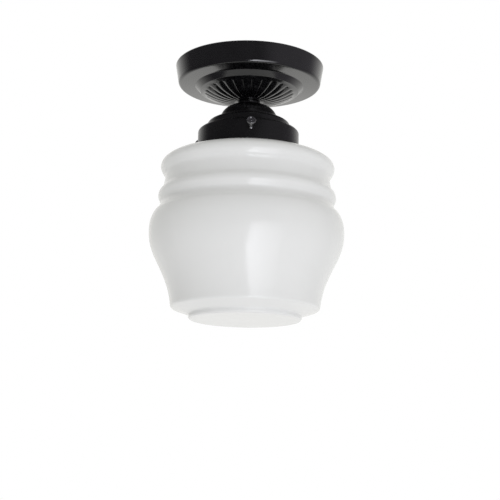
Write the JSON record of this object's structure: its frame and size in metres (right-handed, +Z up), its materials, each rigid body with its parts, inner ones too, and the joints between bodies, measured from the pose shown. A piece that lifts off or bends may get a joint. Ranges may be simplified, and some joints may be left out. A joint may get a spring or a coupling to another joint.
{
  "type": "semi flush ceiling light",
  "caption": "Semi flush ceiling light: fluted round canopy, stepped fitter on a short neck, ribbed opal glass bell shade held by thumb screws, with its lampholder and bulb.",
  "frame": {"origin": "on the light's vertical axis, in the ceiling plane that the canopy's rim lies against", "axes": "+Z up, square to the ceiling; +X along the crossbar; the pictured side faces -Y"},
  "size_m": [0.2032, 0.2032, 0.2881],
  "materials": {
    "black_paint": "gloss",
    "zinc_steel": "zinc plated",
    "green_zinc": "dyed zinc",
    "bright_steel": "polished nickel",
    "brass": "plain",
    "opal_glass": "gloss opal white",
    "frosted_glass": "frosted",
    "porcelain": "glazed porcelain",
    "black_glass": "gloss"
  },
  "bodies": {
    "fixture": {"crossbar": "zinc_steel", "box_screw_left": "zinc_steel", "box_screw_right": "zinc_steel", "ground_screw": "green_zinc", "nipple": "zinc_steel", "crossbar_nut": "zinc_steel", "canopy_nut": "zinc_steel", "fitter_nut": "zinc_steel", "bridge_nut": "zinc_steel", "canopy": "black_paint", "neck_collar": "black_paint", "fitter": "black_paint", "glass_shade": "opal_glass", "lock_washer": "zinc_steel", "socket_bridge": "zinc_steel", "socket_screw_left": "zinc_steel", "socket_screw_right": "zinc_steel", "socket_body": "porcelain", "terminal_screw_hot": "brass", "terminal_screw_neutral": "bright_steel", "screw_shell": "brass", "centre_contact": "brass"},
    "thumb_screw_front": {"thumb_screw_1": "black_paint"},
    "thumb_screw_right": {"thumb_screw_2": "black_paint"},
    "thumb_screw_left": {"thumb_screw_3": "black_paint"},
    "bulb": {"bulb_tip": "zinc_steel", "bulb_insulator": "black_glass", "bulb_base": "bright_steel", "bulb_envelope": "frosted_glass"}
  },
  "joints": [
    {"name": "thumb_screw_front_out", "type": "slide", "parent": "fixture", "child": "thumb_screw_front", "axis": [0.0385, -0.8821, 0.4695], "range_m": [0, 0.003]},
    {"name": "thumb_screw_right_out", "type": "slide", "parent": "fixture", "child": "thumb_screw_right", "axis": [0.7447, 0.4744, 0.4695], "range_m": [0, 0.003]},
    {"name": "thumb_screw_left_out", "type": "slide", "parent": "fixture", "child": "thumb_screw_left", "axis": [-0.7832, 0.4077, 0.4695], "range_m": [0, 0.003]},
    {"name": "bulb_out", "type": "slide", "parent": "fixture", "child": "bulb", "axis": [0, 0, -1], "range_m": [0, 0.024]}
  ]
}
